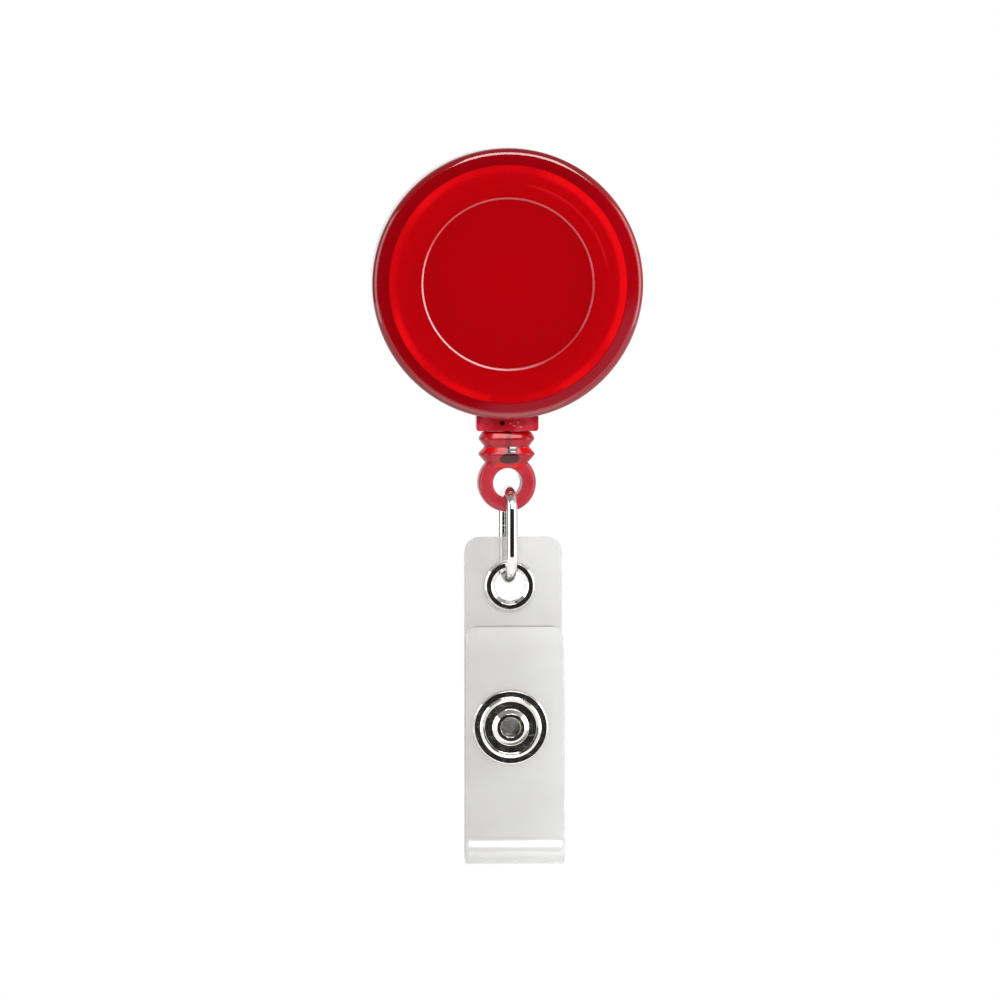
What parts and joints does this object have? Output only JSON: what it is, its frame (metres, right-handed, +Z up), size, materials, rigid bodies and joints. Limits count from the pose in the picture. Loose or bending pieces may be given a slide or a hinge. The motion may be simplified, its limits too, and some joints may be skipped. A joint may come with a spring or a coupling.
{
  "type": "retractable badge reel",
  "caption": "Round retractable badge reel with a belt clip, a sprung cord spool, a ribbed cord end with an oval wire link, and a snap strap for a badge.",
  "frame": {"origin": "inside top of the belt clip's bend, where the edge of a belt bears", "axes": "+Z up as worn, -Y out of the front face, +Y towards the wearer"},
  "size_m": [0.032, 0.0139, 0.0852],
  "materials": {
    "case_red": "glossy translucent",
    "fitting_red": "glossy translucent",
    "spool_red": "satin",
    "spring_steel": "bright",
    "cord": "braided",
    "nickel": "polished",
    "clip_nickel": "plated",
    "strap_pvc": "frosted"
  },
  "bodies": {
    "case": {"front_cover": "case_red", "rear_cover": "case_red", "cord_feed": "cord", "belt_clip": "clip_nickel", "clip_rivet": "clip_nickel"},
    "clip_leg": {"clip_tongue": "clip_nickel"},
    "spool_set": {"spool": "spool_red", "power_spring": "spring_steel", "cord_winding": "cord", "cord_anchor_knot": "cord"},
    "cord_end": {"cord_lead": "cord"},
    "fitting": {"end_fitting": "fitting_red", "cord_end_knot": "cord"},
    "link": {"wire_link": "nickel"},
    "strap": {"strap_back": "strap_pvc", "eyelet": "nickel", "eyelet_washer": "nickel", "snap_stud": "nickel", "snap_post": "nickel"},
    "flap": {"strap_flap": "strap_pvc", "snap_cap": "nickel", "snap_socket": "nickel", "snap_socket_spring": "spring_steel"}
  },
  "joints": [
    {"name": "cord_pull", "type": "slide", "parent": "case", "child": "cord_end", "axis": [0, 0, -1], "range_m": [0, 0.867], "stiffness_N_per_m": 0.9, "springref_m": -0.3},
    {"name": "spool_spin", "type": "hinge", "parent": "case", "child": "spool_set", "pos_m": [0, -0.0071, -0.0128], "axis": [0, 1, 0], "range_deg": [0, 4320], "deforming": ["power_spring"]},
    {"name": "fitting_twist", "type": "hinge", "parent": "cord_end", "child": "fitting", "pos_m": [0, -0.0071, -0.03055], "axis": [0, 0, 1], "range_deg": [-180, 180], "stiffness_Nm_per_rad": 0.00002},
    {"name": "link_swing", "type": "hinge", "parent": "fitting", "child": "link", "pos_m": [0.0002, -0.0071, -0.04024], "axis": [0.9925, 0.1219, 0], "range_deg": [-75, 75]},
    {"name": "strap_swing", "type": "hinge", "parent": "link", "child": "strap", "pos_m": [0.0002, -0.0071, -0.04502], "axis": [0.9925, 0.1219, 0], "range_deg": [-60, 60]},
    {"name": "flap_open", "type": "hinge", "parent": "strap", "child": "flap", "pos_m": [0.00078, -0.0099, -0.08028], "axis": [1, 0, 0], "range_deg": [0, 90]},
    {"name": "clip_flex", "type": "hinge", "parent": "case", "child": "clip_leg", "pos_m": [0, 0.00215, -0.0018], "axis": [1, 0, 0], "range_deg": [0, 12], "stiffness_Nm_per_rad": 0.05}
  ],
  "couplings": [
    {"joint": "spool_spin", "follows": "cord_pull", "rad_per_m": 86.965}
  ]
}
